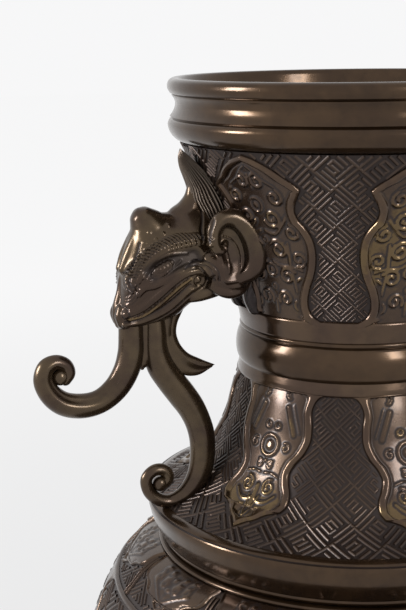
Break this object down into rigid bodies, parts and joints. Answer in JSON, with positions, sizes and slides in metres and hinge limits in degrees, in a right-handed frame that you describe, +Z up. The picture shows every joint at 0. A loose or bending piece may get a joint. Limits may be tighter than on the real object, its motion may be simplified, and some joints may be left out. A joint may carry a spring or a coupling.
{
  "type": "gu-shaped bronze vase",
  "caption": "Tall flared bronze vase with ornamented neck, round body, spreading foot and elephant-head scroll handles.",
  "frame": {"origin": "centre of the foot's underside, on the vase's axis", "axes": "+Z up along the vase's axis; +X towards the right handle; -Y is the front"},
  "size_m": [0.2706, 0.2318, 0.4601],
  "materials": {
    "bronze_dark": "cast bronze with a dark brown patina",
    "bronze_worn": "smooth bronze bands, patina rubbed lighter",
    "bronze_handle": "chased cast bronze, brown patina with brassy high spots",
    "rivet_bronze": "plain bronze pins, dark"
  },
  "bodies": {
    "root": {"mouth_rim": "bronze_worn", "upper_neck": "bronze_dark", "neck_ring": "bronze_worn", "lower_neck": "bronze_dark", "flange_ring": "bronze_worn", "collar_ring": "bronze_dark", "body": "bronze_dark", "waist_ring": "bronze_worn", "foot": "bronze_dark", "foot_rim": "bronze_worn", "base_plate": "bronze_dark", "left_head": "bronze_handle", "left_trunk": "bronze_handle", "left_scroll_arm": "bronze_handle", "left_leaf": "bronze_handle", "left_mane_rivet": "rivet_bronze", "left_jaw_rivet": "rivet_bronze", "left_scroll_rivet": "rivet_bronze", "right_head": "bronze_handle", "right_trunk": "bronze_handle", "right_scroll_arm": "bronze_handle", "right_leaf": "bronze_handle", "right_mane_rivet": "rivet_bronze", "right_jaw_rivet": "rivet_bronze", "right_scroll_rivet": "rivet_bronze"}
  },
  "joints": []
}
